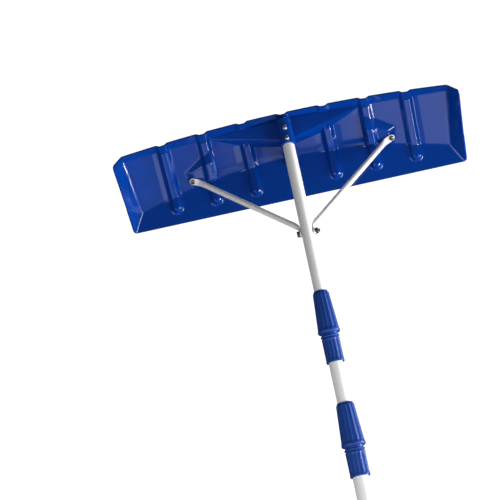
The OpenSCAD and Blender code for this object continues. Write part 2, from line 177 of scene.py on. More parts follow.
def box(name, a, b, edge=0.0):
    corners = [(x, y, z) for x in (a[0], b[0]) for y in (a[1], b[1]) for z in (a[2], b[2])]
    return hull(name, corners, edge)


def cylinder(name, r, z0, z1, edge=0.5, count=48):
    """A round bar about +Z with chamfered ends."""
    e = min(edge, r / 2, (z1 - z0) / 2)
    return lathe(name, [(r - e, z0), (r, z0 + e), (r, z1 - e), (r - e, z1)], count, wrap=False)


def outward(obj):
    """Turns all faces to look outwards."""
    bm = bmesh.new()
    bm.from_mesh(obj.data)
    bmesh.ops.recalc_face_normals(bm, faces=bm.faces)
    bm.to_mesh(obj.data)
    bm.free()
    return obj


def combine(obj, others, operation):
    """Joins other closed pieces to obj, or cuts them from it, and drops them."""
    for other in others:
        outward(other)
        m = obj.modifiers.new(operation, "BOOLEAN")
        m.operation = operation
        m.object = other
        m.solver = "MANIFOLD"
    bpy.context.view_layer.update()
    done = bpy.data.meshes.new_from_object(obj.evaluated_get(bpy.context.evaluated_depsgraph_get()))
    obj.modifiers.clear()
    obj.data = done
    for other in others:
        bpy.data.objects.remove(other)
    return obj


def join(obj, others):
    """Puts other pieces' meshes into obj's, without merging them."""
    bm = bmesh.new()
    for o in [obj, *others]:
        bm.from_mesh(o.data)
    bm.to_mesh(obj.data)
    bm.free()
    for o in others:
        bpy.data.objects.remove(o)
    return obj


def mirrored(obj):
    """A copy on the other side of the pole."""
    copy = obj.copy()
    copy.data = obj.data.copy()
    copy.data.transform(Matrix.Scale(-1, 4, (1, 0, 0)))
    copy.data.flip_normals()
    bpy.context.scene.collection.objects.link(copy)
    return copy


def wear(obj, name, body, material, nodes, crease=32):
    """Names a finished piece, gives it its material and puts it on its body."""
    outward(obj)
    obj.name = name
    obj.data.name = name
    obj.data.materials.clear()
    obj.data.materials.append(material)
    obj.data.shade_smooth()
    obj.data.set_sharp_from_angle(angle=radians(crease))
    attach(obj, body)
    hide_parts(*nodes)
    return obj


# ---- Materials ----
def new_material(name, colour, roughness, **sockets):
    m = bpy.data.materials.new(name)
    m.use_nodes = True
    shader = m.node_tree.nodes["Principled BSDF"]
    shader.inputs["Base Color"].default_value = (*colour, 1)
    shader.inputs["Roughness"].default_value = roughness
    for key, value in sockets.items():
        shader.inputs[key.replace("_", " ")].default_value = value
    return m, m.node_tree.nodes, m.node_tree.links, shader


def noise(nodes, links, scale, detail=3, roughness=0.5, stretch=(1, 1, 1)):
    """Noise on the frame's own coordinates, scale being features per metre."""
    where = nodes.new("ShaderNodeTexCoord")
    mapping = nodes.new("ShaderNodeMapping")
    mapping.inputs["Scale"].default_value = stretch
    texture = nodes.new("ShaderNodeTexNoise")
    texture.inputs["Scale"].default_value = scale
    texture.inputs["Detail"].default_value = detail
    texture.inputs["Roughness"].default_value = roughness
    links.new(where.outputs["Object"], mapping.inputs["Vector"])
    links.new(mapping.outputs["Vector"], texture.inputs["Vector"])
    return texture.outputs["Fac"]


def ramp(nodes, links, source, stops):
    """A colour ramp. stops is [place, colour or grey level], in order."""
    node = nodes.new("ShaderNodeValToRGB")
    links.new(source, node.inputs["Fac"])
    ends = node.color_ramp.elements
    while len(ends) < len(stops):
        ends.new(0.5)
    for end, (at, colour) in zip(ends, stops):
        end.position = at
        rgb = colour if isinstance(colour, tuple) else (colour,) * 3
        end.color = (*rgb, 1)
    return node.outputs["Color"]


def bump(nodes, links, shader, source, strength, distance):
    node = nodes.new("ShaderNodeBump")
    node.inputs["Strength"].default_value = strength
    node.inputs["Distance"].default_value = distance
    links.new(source, node.inputs["Height"])
    links.new(node.outputs["Normal"], shader.inputs["Normal"])


def plastic(name, deep, bright, roughness, grain, shine=0.5):
    """Moulded plastic: a cloudy colour, uneven gloss and a fine moulded grain.

    deep and bright are linear colours, roughness is [least, most], and grain is [per metre, strength].
    """
    m, nodes, links, shader = new_material(name, deep, roughness[0], Specular_IOR_Level=shine)
    cloud = noise(nodes, links, 9, 4)
    links.new(ramp(nodes, links, cloud, [(0.3, deep), (0.7, bright)]), shader.inputs["Base Color"])
    rub = noise(nodes, links, 55, 5, 0.6)
    gloss = [(0.35, roughness[0]), (0.7, roughness[1])]
    links.new(ramp(nodes, links, rub, gloss), shader.inputs["Roughness"])
    fine = noise(nodes, links, grain[0], 2)
    bump(nodes, links, shader, fine, grain[1], 0.0004)
    return m


def coated_metal():
    """Satin coating on drawn tube: faint lengthways drawing lines, handling marks and uneven gloss."""
    m, nodes, links, shader = new_material("coated_metal", (0.6, 0.6, 0.6), 0.38)
    lines = noise(nodes, links, 300, 3, 0.6, (1, 1, 0.01))
    tone = ramp(nodes, links, lines, [(0.3, (0.70, 0.70, 0.705)), (0.7, (0.77, 0.77, 0.775))])
    links.new(tone, shader.inputs["Base Color"])
    marks = noise(nodes, links, 38, 6, 0.7, (1, 1, 0.35))
    links.new(ramp(nodes, links, marks, [(0.35, 0.30), (0.75, 0.50)]), shader.inputs["Roughness"])
    bump(nodes, links, shader, lines, 0.08, 0.0003)
    return m


def metal(name, dark, light, roughness):
    """Plated steel with turning marks and tarnish."""
    m, nodes, links, shader = new_material(name, light, roughness, Metallic=1.0)
    tarnish = noise(nodes, links, 420, 5, 0.65)
    links.new(ramp(nodes, links, tarnish, [(0.3, dark), (0.65, light)]), shader.inputs["Base Color"])
    fine = noise(nodes, links, 1500, 2)
    low_high = [(0.3, roughness), (0.8, roughness + 0.22)]
    links.new(ramp(nodes, links, fine, low_high), shader.inputs["Roughness"])
    bump(nodes, links, shader, fine, 0.12, 0.0002)
    return m


def rubber():
    """Matt black rubber with a fine pebble and dusty high spots."""
    m, nodes, links, shader = new_material("grip_rubber", (0.012, 0.012, 0.013), 0.6, Specular_IOR_Level=0.35)
    dust = noise(nodes, links, 90, 6, 0.7)
    stops = [(0.4, (0.009, 0.009, 0.010)), (0.8, (0.030, 0.030, 0.031))]
    links.new(ramp(nodes, links, dust, stops), shader.inputs["Base Color"])
    links.new(ramp(nodes, links, dust, [(0.3, 0.5), (0.8, 0.75)]), shader.inputs["Roughness"])
    pebble = nodes.new("ShaderNodeTexVoronoi")
    pebble.inputs["Scale"].default_value = 900
    where = nodes.new("ShaderNodeTexCoord")
    links.new(where.outputs["Object"], pebble.inputs["Vector"])
    bump(nodes, links, shader, pebble.outputs["Distance"], 0.35, 0.0004)
    return m


BLADE = plastic("blade_plastic", deep=(0.0, 0.033, 0.25), bright=(0.0, 0.040, 0.285),
                roughness=(0.05, 0.10), grain=(1400, 0.04))
CLAMP = plastic("clamp_plastic", deep=(0.008, 0.043, 0.22), bright=(0.012, 0.053, 0.27),
                roughness=(0.34, 0.46), grain=(1800, 0.10), shine=0.25)
INNER = plastic("inner_plastic", deep=(0.030, 0.030, 0.032), bright=(0.045, 0.045, 0.048),
                roughness=(0.4, 0.55), grain=(1500, 0.1))
TUBE = coated_metal()
STEEL = metal("bright_steel", (0.42, 0.42, 0.43), (0.72, 0.72, 0.73), 0.22)
SCREW = metal("screw_steel", (0.07, 0.07, 0.065), (0.26, 0.26, 0.24), 0.28)
DARK = metal("dark_steel", (0.045, 0.045, 0.05), (0.13, 0.13, 0.14), 0.34)
RUBBER = rubber()


# ---- Blade ----
FLANGE_TILT, PANEL_TILT, LIP_TILT = 75, 45, 14  # degrees forward of straight up
FLANGE_W, FLANGE_ARCH = 13.5, 9                 # at the ends, and how much wider it is in the middle
TOP_CREASE = Vector((-14.2, 54))                # [forward, up] of the flange's crease in the middle
EDGE = Vector((-84, -70.5))                     # [forward, up] of the straight scraping edge
BOW, BOW_AT = 21.7, 285                         # the panel bows out by BOW at x = BOW_AT
SKIN = 3
TOP_END, MID_END, EDGE_END = 291.9, 282.8, 301  # x of the end folds at the top, the bend and the edge
FLARE = Vector((25.4, -15.3))                   # from the end of the top crease to an end wall's top corner
FLARE_TOP_X = 308
STRAIGHT_X = 250                                # columns keep their x up to here
BEAD_PITCH, BEAD_H, BEAD_HALF = 73, 9, 13       # distance apart, height and half width
NOSE_GAP = 17.4                                 # from the edge up to a bead's nose
RIM_SHARE, CREST_SHARE = 0.36, 0.85             # of a bead's height at the flange's rim and at its foot
BEAD_WALL = 2.2                                 # how much narrower a bead is on the back
COVERED = 0.25                                  # what is left of the inner beads under the gusset
FOLD, BEND, CORNER = 2.2, 3.0, 3.0              # half lengths of the rounded creases
NOSE_TOP = 26                                   # rows keep their height above the edge up to here
CORNER_R = 5.5                                  # of the sheet's four outer corners
RIM_BULGE = 0.6                                 # how far the middle of the rim stands out


def along(tilt):
    """Up a surface of that tilt, as [forward, up]."""
    return Vector((sin(radians(tilt)), cos(radians(tilt))))


def facing(tilt):
    """The way that its front looks, as [forward, up]."""
    return Vector((cos(radians(tilt)), -sin(radians(tilt))))


def upper(x):
    """The flange's crease at x, as [forward, up]."""
    return TOP_CREASE + BOW * (x / BOW_AT) ** 2 * facing(PANEL_TILT)


def flange_at(x):
    return FLANGE_W + FLANGE_ARCH * (1 - (x / BOW_AT) ** 2)


def drop_len(x):
    """The panel's length from the crease to the bend, where it meets the lip."""
    return cross2(EDGE - upper(x), along(LIP_TILT)) / cross2(-along(PANEL_TILT), along(LIP_TILT))


def lower(x):
    return upper(x) - drop_len(x) * along(PANEL_TILT)


def lip_len(x):
    return (lower(x) - EDGE).length


ROUND = (0.2, 0.4, 0.6, 0.8)  # places round a crease or a bend
ROWS = ([("flange", k) for k in (0.06, 0.3, 0.55, 0.8, 1)]
        + [("fold", k) for k in (0.25, 0.5, 0.75)]
        + [("panel", k) for k in steps(0, 1, 58)]
        + [("bend", k) for k in ROUND]
        + [("over", k) for k in (1, 0.85, 0.7, 0.55, 0.42, 0.3, 0.2, 0.12, 0.05)]
        + [("lip", h) for h in (26, 24.6, 23.2, 22, 21, 20, 19.2, 18.5, 17.9, 17.4, 16.5, 13, 9, 5, 2, 0.7)])


def row_spot(row, x):
    """The place [forward, up] of a row at x, and its tilt."""
    kind, k = row
    top, bottom = upper(x), lower(x)
    fold_a, fold_b = top + FOLD * along(FLANGE_TILT), top - FOLD * along(PANEL_TILT)
    bend_a, bend_b = bottom + BEND * along(PANEL_TILT), bottom - BEND * along(LIP_TILT)
    if kind == "flange":
        return mix(top + flange_at(x) * along(FLANGE_TILT), fold_a, k), FLANGE_TILT
    if kind == "fold":
        return curve(fold_a, top, fold_b, k), mix(FLANGE_TILT, PANEL_TILT, k)
    if kind == "panel":
        return mix(fold_b, bend_a, k), PANEL_TILT
    if kind == "bend":
        return curve(bend_a, bottom, bend_b, k), mix(PANEL_TILT, LIP_TILT, k)
    h = k if kind == "lip" else mix(NOSE_TOP, lip_len(x) - BEND, k)
    return EDGE + h * along(LIP_TILT), LIP_TILT


def down(row, x):
    """How far down the panel a row is, in millimetres from the top crease."""
    return (row_spot(row, x)[0] - upper(x)).length


def row_end(row):
    """The x at which a row meets the end fold."""
    kind, k = row
    if kind in ("flange", "fold"):
        return TOP_END
    if kind in ("panel", "bend"):
        return mix(TOP_END, MID_END, min(1, down(row, MID_END) / drop_len(MID_END)))
    h = k if kind == "lip" else mix(NOSE_TOP, lip_len(MID_END) - BEND, k)
    return mix(EDGE_END, MID_END, min(1, h / lip_len(MID_END)))


def swell(u):
    """A bead's section: flat on top, with soft flanks."""
    return 1 - smooth((abs(u) - 0.3) / 0.7)


def under_gusset(row, x):
    """How much is left of the inner beads where the gusset covers them."""
    kind, k = row
    if kind == "flange":
        return mix(1, COVERED, k)
    if kind == "fold":
        return COVERED
    return max(COVERED, smooth((down(row, x) - 6) / 24)) if kind == "panel" else 1


def bead(row, x, half):
    """How far a bead stands out at a row and x, half being half its width."""
    kind, k = row
    rise = {"flange": mix(RIM_SHARE, CREST_SHARE, k), "fold": mix(CREST_SHARE, 1, k)}.get(kind, 1)
    dip = {"flange": RIM_SHARE, "fold": RIM_SHARE * (1 - k)}.get(kind, 0) * swell(x / half)
    which = max(1, min(3, round(abs(x) / BEAD_PITCH)))
    off = abs(abs(x) - BEAD_PITCH * which)
    if which == 1:
        rise *= under_gusset(row, x)
    past = min(0, k - NOSE_GAP - BEAD_HALF) if kind == "lip" else 0
    if kind == "over":
        past = min(0, mix(NOSE_TOP, lip_len(x) - BEND, k) - NOSE_GAP - BEAD_HALF)
    return BEAD_H * max(dip, rise * swell(sqrt(off * off + past * past) / half))


# Brace pads: low flat-topped wedges on the panel with a round boss; the beads run on over them
PAD_BOLT = (181, 71)
PAD_RISE, PAD_SLOPE = 5.5, 0.12
# Each side: two places (x, down) on its foot line, and its steepness
PAD_TOP_SIDE = ((159.3, 31.1), (191.5, 53.2), 0.6)
PAD_OUT_SIDE = ((191.5, 53.2), (188, 67), 0.5)
PAD_LOW_SIDE = ((187, 88), (140, 80), 1.0)
PAD_SIDES = (PAD_TOP_SIDE, PAD_OUT_SIDE, PAD_LOW_SIDE)
PAD_BOSS_R, BOSS_STEEP = 7.5, 4
PAD_FROM, PAD_FADE = 132.5, 7.5  # a pad rises out of the second bead from this x, over this width
BOSS_BACK = 10.5  # from a pad's top to the flat on the back of the blade


def over_line(side, x, t):
    """Height of a sloping side at (x, down), the foot line running with the pad on its right hand."""
    (x0, t0), (x1, t1), steep = side
    length = sqrt((x1 - x0) ** 2 + (t1 - t0) ** 2)
    return steep * ((x1 - x0) * (t - t0) - (t1 - t0) * (x - x0)) / length


def pad_seat(x):
    """Height of a pad's flat top over the panel."""
    return PAD_RISE + PAD_SLOPE * (PAD_BOLT[0] - x)


def pad(row, x):
    """How far a brace pad stands out at a row and x."""
    if row[0] not in ("panel", "bend"):
        return 0
    t = down(row, x)
    x = abs(x)
    wedge = min(over_line(side, x, t) for side in PAD_SIDES)
    from_bolt = sqrt((x - PAD_BOLT[0]) ** 2 + (t - PAD_BOLT[1]) ** 2)
    boss = BOSS_STEEP * (PAD_BOSS_R + 1 - from_bolt)
    return max(0, min(pad_seat(x), max(wedge, boss))) * smooth((x - PAD_FROM) / PAD_FADE)


def panel_columns():
    """x values of half the blade, close together where beads and pads rise and fall."""
    xs = [0, 3, 5, 7, 9, 11, 13, 24, 36, 48]
    for k in (1, 2, 3):
        xs += steps(k * BEAD_PITCH - BEAD_HALF, k * BEAD_PITCH + BEAD_HALF, 20)
        xs += {1: [98, 110, 122], 2: steps(160.5, 204, 29), 3: [241, 250, 259, 267, 274, 280, 285]}[k]
    return xs


COLUMNS = panel_columns()
WALL = [0.12, 0.28, 0.46, 0.64, 0.82, 0.93, 0.98]  # places across an end wall


def crease(row):
    """Where a row meets the end fold."""
    end = row_end(row)
    return Vector((end, *row_spot(row, end)[0]))


def free_edge(row):
    """Where a row ends, on the end wall's straight free edge, run being its share of the way down."""
    kind, k = row
    top = Vector((FLARE_TOP_X, *(upper(TOP_END) + FLARE)))
    foot = Vector((EDGE_END + 2, *(EDGE + Vector((2, -0.5)))))
    if kind in ("flange", "fold"):
        run = 0.05 * (k if kind == "flange" else 1)
    elif kind in ("panel", "bend"):
        run = mix(0.07, 0.62, min(1, down(row, MID_END) / drop_len(MID_END)))
    else:
        h = k if kind == "lip" else mix(NOSE_TOP, lip_len(MID_END) - BEND, k)
        run = mix(1, 0.62, min(1, h / lip_len(MID_END)))
    return mix(top, foot, run)


def half_row(row):
    """Points of the smooth skin from the middle out, each with the direction that its face looks in."""
    tilt = row_spot(row, 0)[1]
    out = Vector((0, *facing(tilt)))
    end, corner, free = row_end(row), crease(row), free_edge(row)
    stop = end - CORNER
    points = []
    for c in COLUMNS:
        x = c if c <= STRAIGHT_X else mix(STRAIGHT_X, stop, (c - STRAIGHT_X) / (COLUMNS[-1] - STRAIGHT_X))
        points.append((Vector((x, *row_spot(row, x)[0])), out, x))
    away = (free - corner).normalized()
    wall_out = Vector((0, *along(tilt))).cross(away).normalized()
    reach = min(CORNER, 0.4 * (free - corner).length)
    a, b = points[-1][0], corner + reach * away
    for k in (*ROUND, 1):
        points.append((curve(a, corner, b, k), mix(out, wall_out, k).normalized(), None))
    for k in WALL:
        points.append((mix(b, free, k), wall_out, None))
    return points


def round_corner(rows, first, radius):
    """Moves the points near an outer corner of half the sheet in, so that its outline becomes an arc."""
    n, m = len(rows), len(rows[0])
    order = range(n) if first == 0 else range(n - 1, -1, -1)
    moved = {}
    fall = [0.0] * m
    last = None
    for i in order:
        inward = 0.0
        for j in range(m - 1, -1, -1):
            p = rows[i][j][0]
            if last is not None:
                fall[j] += (p - rows[last][j][0]).length
            if j < m - 1:
                inward += (p - rows[i][j + 1][0]).length
            if inward >= radius:
                continue
            if fall[j] < radius:
                a, b = 1 - inward / radius, 1 - fall[j] / radius
                da, db = a * (1 - sqrt(1 - b * b / 2)), b * (1 - sqrt(1 - a * a / 2))
                side = (rows[i][j - 1][0] - p).normalized()
                step = (rows[i + (1 if first == 0 else -1)][j][0] - p).normalized()
                moved[i, j] = p + radius * (da * side + db * step)
        last = i
        if min(fall) >= radius:
            break
    for (i, j), p in moved.items():
        rows[i][j] = (p, *rows[i][j][1:])


def whole_row(points):
    """From half a row in the blade's own measures to all of it in the frame."""
    return [place((-p.x, p.y, p.z)) for p in points[:0:-1]] + [place(p) for p in points]


def sheet_sides():
    """The front and back of the bent sheet with its beads and pads, as rows of points."""
    half_rows = [half_row(row) for row in ROWS]
    round_corner(half_rows, 0, CORNER_R)
    round_corner(half_rows, -1, CORNER_R)
    front, back = [], []
    for row, points in zip(ROWS, half_rows):
        rises, hollows = [], []
        for p, out, x in points:
            rise = bead(row, x, BEAD_HALF) + pad(row, x) if x is not None else 0
            hollow = bead(row, x, BEAD_HALF - BEAD_WALL) if x is not None else 0
            rises.append(p + rise * out)
            hollows.append(p + (hollow - SKIN) * out)
        front.append(whole_row(rises))
        back.append(whole_row(hollows))
    return front, back


def blade_skin():
    """The sheet as a closed piece, with a rounded rim between its front and back."""
    front, back = sheet_sides()
    w, m = len(front[0]), len(front)
    verts = [p for side in (front, back) for line in side for p in line]
    size = w * m
    faces = []
    for i in range(m - 1):
        for j in range(w - 1):
            a = i * w + j
            faces += [(a, a + 1, a + w + 1, a + w), (size + a, size + a + w, size + a + w + 1, size + a + 1)]
    rim = ([(0, j) for j in range(w)] + [(i, w - 1) for i in range(1, m)]
           + [(m - 1, j) for j in range(w - 2, -1, -1)] + [(i, 0) for i in range(m - 2, 0, -1)])
    middle = len(verts)
    for i, j in rim:
        inner = front[min(max(i, 1), m - 2)][min(max(j, 1), w - 2)]
        push = (front[i][j] - inner).normalized()
        verts.append((front[i][j] + back[i][j]) / 2 + push * RIM_BULGE)
    n = len(rim)
    for e in range(n):
        (i, j), (i2, j2) = rim[e], rim[(e + 1) % n]
        a, a2 = i * w + j, i2 * w + j2
        c, c2 = middle + e, middle + (e + 1) % n
        faces += [(a2, a, c, c2), (size + a, size + a2, c2, c)]
    return make("blade_skin", verts, faces)


def on_panel(x, t, h):
    """The point [x, forward, up] that is t down the panel from the crease and h out from it."""
    p = upper(x) - t * along(PANEL_TILT) + h * facing(PANEL_TILT)
    return Vector((x, p[0], p[1]))


# The way that the right pad's top looks, and the middle of its seat
PAD_OUT = Vector((PAD_SLOPE, *facing(PANEL_TILT))).normalized()
PAD_SEAT = on_panel(*PAD_BOLT, PAD_RISE)


def to_frame(d):
    """Turns a direction from [x, forward, up] to the frame."""
    return Vector((d[0], -d[1], d[2]))


GUSSET_X, GUSSET_LOW = 146, 16.5  # its side corners, and the foot of its front edge
GUSSET_MID = (72, 36.6)           # [x, down] of the corner on the panel between them
GUSSET_LEAN = 7                   # how far the top of its front leans out under the flange


def gusset(wall, sink, lean, edge):
    """The hollow pyramid under the socket: its outside, or with wall and sink its cavity."""
    x, front = GUSSET_X - 4.5 * wall, TOP_CREASE[0] - wall
    high_up, low_down = TOP_CREASE[1] - 0.4 * wall, GUSSET_LOW + wall
    points = []
    for s in (-1, 1):
        end = upper(x) - wall * Vector((1, 0.2)) - sink * facing(PANEL_TILT)
        middle = on_panel(GUSSET_MID[0] - wall, GUSSET_MID[1] - 1.5 * wall, -sink)
        points += [(s * x, *end), (s * middle.x, middle.y, middle.z)]
    panel_there = TOP_CREASE[0] - (TOP_CREASE[1] - low_down)
    points.append((0, front + lean, high_up + lean / tan(radians(FLANGE_TILT))))
    points.append((0, front, low_down))
    points.append((0, front - 1.4 * sink, high_up))
    points.append((0, panel_there - sink, low_down + 0.4 * sink))
    return hull("gusset", [place(p) for p in points], edge)


SOCKET_R = TUBE_R[1] + 3
SOCKET_TOP, BLOCK_BACK = 50, 17
CRADLE_LOW, CRADLE_TOP = -28, 1
SCREW_HEIGHTS = (11, 31)
SCREW_PAD_R, SCREW_PAD_OUT = 5, 0.5   # its radius, and how far it stands out of the sleeve
SCREW_HOLE_R, BOLT_HOLE_R = 2.15, 3.15
BOSS_R, SPOT_R = 9, 7                 # behind a pad: the boss, and the flat cut into it
MOUTH_FROM, MOUTH_SLANT = 2, 0.36     # the sleeve's mouth is cut higher towards the user, from MOUTH_FROM on


def behind(x, back, up):
    """A point counted backwards from the pole's axis."""
    return place((x, -back, up))


def socket():
    """The pole's sleeve with its block, cradle, web and screw pads."""
    parts = [aim(cylinder("sleeve", SOCKET_R, 0, SOCKET_TOP, 0.8, 72), behind(0, 0, 0), (0, 0, 1)),
             box("block", behind(-SOCKET_R, 0, 0), behind(SOCKET_R, BLOCK_BACK, SOCKET_TOP), 0.8)]
    length = 9 + SCREW_PAD_OUT
    for h in SCREW_HEIGHTS:
        screw_pad = cylinder("screw_pad", SCREW_PAD_R, 0, length, 0.7)
        parts.append(aim(screw_pad, behind(0, -SOCKET_R + length - SCREW_PAD_OUT, h), (0, -1, 0)))
    trough = []
    for z in (CRADLE_LOW, CRADLE_TOP):
        for a in [radians(d) for d in range(-76, 77, 8)]:
            trough.append(behind(SOCKET_R * sin(a), SOCKET_R * cos(a), z))
    parts.append(hull("cradle", trough, 0.5))
    web = [(11.6, CRADLE_LOW), (11.6, 15), (58, 15), (69.5, 0), (73, -20)]
    parts.append(hull("web", [behind(x, back, up) for x in (-3, 3) for back, up in web], 0.4))
    return parts


def mouth():
    """What is cut off the sleeve's foot."""
    far = 30
    slant = [(MOUTH_FROM, 0), (far, (far - MOUTH_FROM) * MOUTH_SLANT), (far, -20), (MOUTH_FROM, -20)]
    return hull("mouth", [place((x, f, up)) for x in (-far, far) for f, up in slant])


def blade():
    """The moulding: sheet, gusset, bosses and socket in one, with the pole's bore and the bolts' holes."""
    out = to_frame(PAD_OUT)
    body = blade_skin()
    boss = aim(cylinder("boss", BOSS_R, PAD_RISE + 1, BOSS_BACK, 0.6), place(PAD_SEAT), -out)
    combine(body, [gusset(0, 1.5, GUSSET_LEAN, 0.6), boss, mirrored(boss), *socket()], "UNION")
    bore_r = TUBE_R[1] + 0.08
    bore = lathe("bore", [(bore_r, -60), (bore_r, TUBE_IN + 0.1)], 72, wrap=False)
    cuts = [gusset(SKIN, 9, 0, 0), aim(bore, place((0, 0, 0)), (0, 0, 1)), mouth()]
    for h in SCREW_HEIGHTS:
        screw_hole = cylinder("screw_hole", SCREW_HOLE_R, 0, 30, 0.1, 24)
        cuts.append(aim(screw_hole, place((0, 0, h)), (0, -1, 0)))
    hole = aim(cylinder("hole", BOLT_HOLE_R, 0, 50, 0.1, 32), place(PAD_SEAT) + 20 * out, -out)
    spot_face = aim(cylinder("spot_face", SPOT_R, 0, 10, 0.1, 40), place(PAD_SEAT) - BOSS_BACK * out, -out)
    cuts += [hole, mirrored(hole), spot_face, mirrored(spot_face)]
    combine(body, cuts, "DIFFERENCE")
    wear(body, "rake_blade", "head", BLADE, ["blade"], 28)


# ---- Braces: round tube with its ends pressed flat ----
TAB_T, TAB_HALF, BRACE_R = 2.4, 6.3, 5
NECK_T = 1.25                     # half the thickness where a flat end starts to open into the tube
END_ANGLES = (10, 25, 40, 55, 72, 90)  # degrees round the rounded tip of a flat end
TO_BEND = 13                      # from a bolt to the bend beside it


def brace_stations():
    """The right brace's sections from the pole up.

    Each is [middle, direction, direction of its thickness, half width, half thickness].
    """
    pole_tab = Vector((TUBE_R[1] + 0.05 + TAB_T / 2, 0, POLE_BOLT_Z - SOCKET_Z))
    blade_tab = PAD_SEAT + (0.05 + TAB_T / 2) * PAD_OUT
    run = (blade_tab - pole_tab).normalized()
    up_pole = Vector((0, run.y, run.z)).normalized()
    up_pad = (run - run.dot(PAD_OUT) * PAD_OUT).normalized()
    pole_bend, blade_bend = pole_tab + TO_BEND * up_pole, blade_tab - TO_BEND * up_pad
    tube = (blade_bend - pole_bend).normalized()
    side = Vector((1, 0, 0))
    stations = []
    for a in END_ANGLES:
        half = TAB_HALF * sin(radians(a))
        stations.append((pole_tab - TAB_HALF * cos(radians(a)) * up_pole, up_pole, side, half, TAB_T / 2))
    stations += [(pole_tab + d * up_pole, up_pole, side, TAB_HALF, TAB_T / 2) for d in (5, 9)]
    a, b = pole_tab + 9 * up_pole, pole_bend + 10 * tube
    for k in ROUND:
        p = curve(a, pole_bend + Vector((0.9, 0, 0)), b, k)
        stations.append((p, mix(up_pole, tube, k), side, mix(TAB_HALF, BRACE_R, smooth(k)),
                         mix(NECK_T, BRACE_R, smooth(k))))
    c, d = blade_bend - 14 * tube, blade_tab - 9 * up_pad
    for k in (0, 0.1, 0.3, 0.5, 0.7, 0.9, 1):
        stations.append((mix(b, c, k), tube, mix(side, PAD_OUT, k), BRACE_R, BRACE_R))
    for k in ROUND:
        p = curve(c, blade_bend, d, k)
        stations.append((p, mix(tube, up_pad, k), PAD_OUT, mix(BRACE_R, TAB_HALF, smooth(k)),
                         mix(BRACE_R, NECK_T, smooth(k))))
    stations += [(blade_tab + e * up_pad, up_pad, PAD_OUT, TAB_HALF, TAB_T / 2) for e in (-9, -5)]
    for a in reversed(END_ANGLES):
        half = TAB_HALF * sin(radians(a))
        stations.append((blade_tab + TAB_HALF * cos(radians(a)) * up_pad, up_pad, PAD_OUT, half, TAB_T / 2))
    return stations


def squircle(a, flat):
    """A round section, or with flat 1 a plate with rounded edges."""
    c, s = cos(a), sin(a)
    power_c, power_s = mix(1, 0.8, flat), mix(1, 0.3, flat)
    return (abs(c) ** power_c * (1 if c > 0 else -1), abs(s) ** power_s * (1 if s > 0 else -1))


def braces():
    """Both braces, the left one as the right one's mirror image."""
    count = 32  # points round the tube
    rings = []
    for p, direction, thick, half, half_t in brace_stations():
        forward = direction.normalized()
        up = (thick - thick.dot(forward) * forward).normalized()
        wide = forward.cross(up)
        flat = min(1, max(0, (half - half_t) / 4)) if half > half_t else 0
        ring = []
        for i in range(count):
            c, s = squircle(2 * pi * i / count, flat)
            ring.append(place(p + half * c * wide + half_t * s * up))
        rings.append(ring)
    right = outward(skin("brace", rings))
    out = to_frame(PAD_OUT)
    at_pad, at_pole = place(PAD_SEAT) + TAB_T / 2 * out, (TUBE_R[1] - 2, 0, POLE_BOLT_Z)
    cuts = [aim(cylinder("hole", BOLT_HOLE_R, -9, 9, 0.1, 32), at_pad, out),
            aim(cylinder("hole", BOLT_HOLE_R, 0, 9, 0.1, 32), at_pole, (1, 0, 0))]
    combine(right, cuts, "DIFFERENCE")
    left = mirrored(right)
    wear(right, "brace_tube_right", "head", TUBE, ["brace_right"], 40)
    wear(left, "brace_tube_left", "head", TUBE, ["brace_left"], 40)


# ---- Fasteners ----
M6_R, M4_R, M4_PITCH = 3, 2, 0.7
CLEARANCE = 0.05                # between parts that lie on each other
WASHER_R, WASHER_T = 6, 1.2
HEX_FLAT, NUT_T, HEAD_T = 4.65, 5, 4  # half the width over flats, and the nut's and the bolt head's heights
BRACE_SCREW_HEAD = (4.4, 3.4, 2.2)  # radius, height and half the recess's width
SOCKET_SCREW_HEAD = (4, 3.6, 2)
SOCKET_SCREW_SEAT = 14.05       # forward of the pole's axis


def threaded(r, z0, z1, pitch=1.0):
    """A bolt's shank, with rolled thread ridges and a chamfered end at z1."""
    profile = [(r, z0)]
    z = z0
    while z < z1 - 1.4:
        profile += [(r, z + 0.3 * pitch), (r * 0.91, z + 0.65 * pitch), (r * 0.91, z + 0.75 * pitch)]
        z += pitch
    return lathe("shank", profile + [(r, z), (r, z1 - 0.8), (r * 0.75, z1)], 32, wrap=False)


def pan_head(r, height, recess):
    """A domed head about +Z, with a cross recess."""
    dome = [(r * 0.93, 0), (r, 0.25), (r, 0.45 * height)]
    dome += [(r * cos(a), height * (0.45 + 0.55 * sin(a))) for a in [radians(d) for d in range(12, 89, 12)]]
    head = lathe("head", dome, 40, wrap=False)
    arm = 0.18 * r
    blades = [box("slot", (-recess, -arm, height * 0.4), (recess, arm, height + 1)),
              box("slot", (-arm, -recess, height * 0.4), (arm, recess, height + 1))]
    return combine(outward(head), blades, "DIFFERENCE")


def hex_piece(flat, height, hole=None):
    """A nut, or without a hole a bolt's head: six flats with chamfered corners."""
    tip = flat / cos(radians(30))

    def shape(r, z, a):
        turn = (degrees(a) + 30) % 60 - 30
        return r if r < flat * 0.8 else min(r, flat / cos(radians(turn)))

    outside = [(flat * 0.97, 0), (tip, 0.55), (tip, height - 0.55), (flat * 0.97, height)]
    if hole:
        outside += [(hole + 0.4, height), (hole, height - 0.4), (hole, 0.4), (hole + 0.4, 0)]
    return lathe("hex", outside, 60, shape, wrap=bool(hole))


def washer(r, hole, thick):
    """A flat ring with broken edges."""
    e = 0.2
    return lathe("washer", [(r - e, 0), (r, e), (r, thick - e), (r - e, thick), (hole + e, thick),
                            (hole, thick - e), (hole, e), (hole + e, 0)], 48)


def both(obj):
    """A fastener and its mirror image as one piece."""
    return join(obj, [mirrored(obj)])


